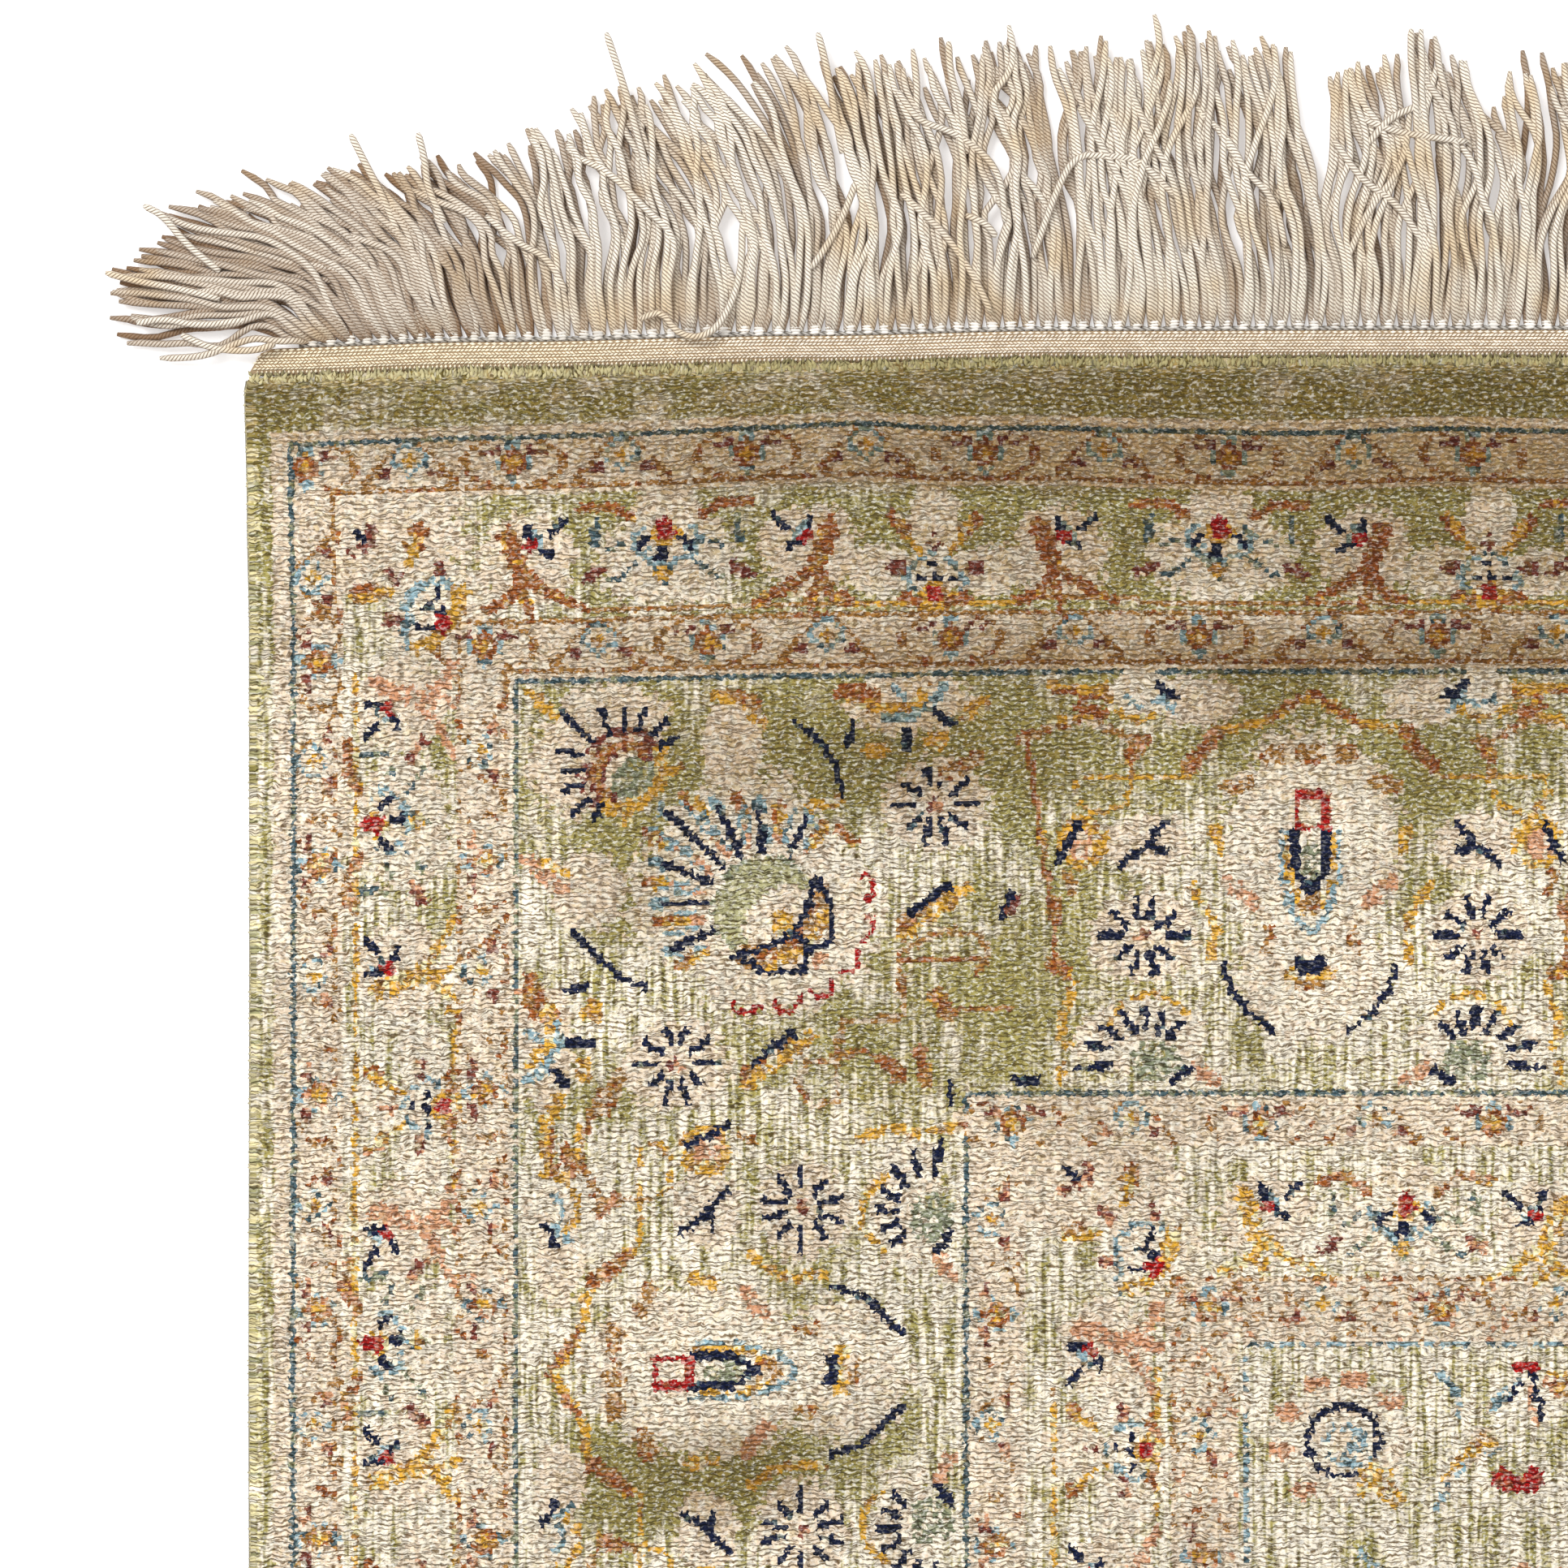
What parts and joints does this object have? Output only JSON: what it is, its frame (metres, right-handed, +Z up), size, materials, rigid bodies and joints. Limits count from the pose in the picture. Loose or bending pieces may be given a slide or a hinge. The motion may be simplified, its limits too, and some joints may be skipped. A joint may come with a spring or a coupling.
{
  "type": "persian rug",
  "caption": "Hand-knotted Persian rug lying flat, with patterned pile, overcast sides, flat-woven end bands and a knotted fringe at each end.",
  "frame": {"origin": "middle of the rug on the surface that it lies on", "axes": "+X across the rug, to the right as seen from above with the fanned fringe corner at the upper left; +Y along the rug towards that fringe end; +Z up out of the pile"},
  "size_m": [0.8648, 1.4056, 0.0053],
  "materials": {
    "pile_yarn": "short knotted pile with a silky sheen, olive, cream and brown ground with a small coloured pattern",
    "selvedge_yarn": "overcast yarn, pale olive beige",
    "kilim_yarn": "flat twined weave, cream to tan",
    "fringe_yarn": "two-ply twisted yarn, ivory"
  },
  "bodies": {
    "root": {"pile": "pile_yarn", "selvedge_left": "selvedge_yarn", "selvedge_right": "selvedge_yarn", "kilim_top": "kilim_yarn", "kilim_bottom": "kilim_yarn", "fringe_top": "fringe_yarn", "fringe_bottom": "fringe_yarn"}
  },
  "joints": []
}
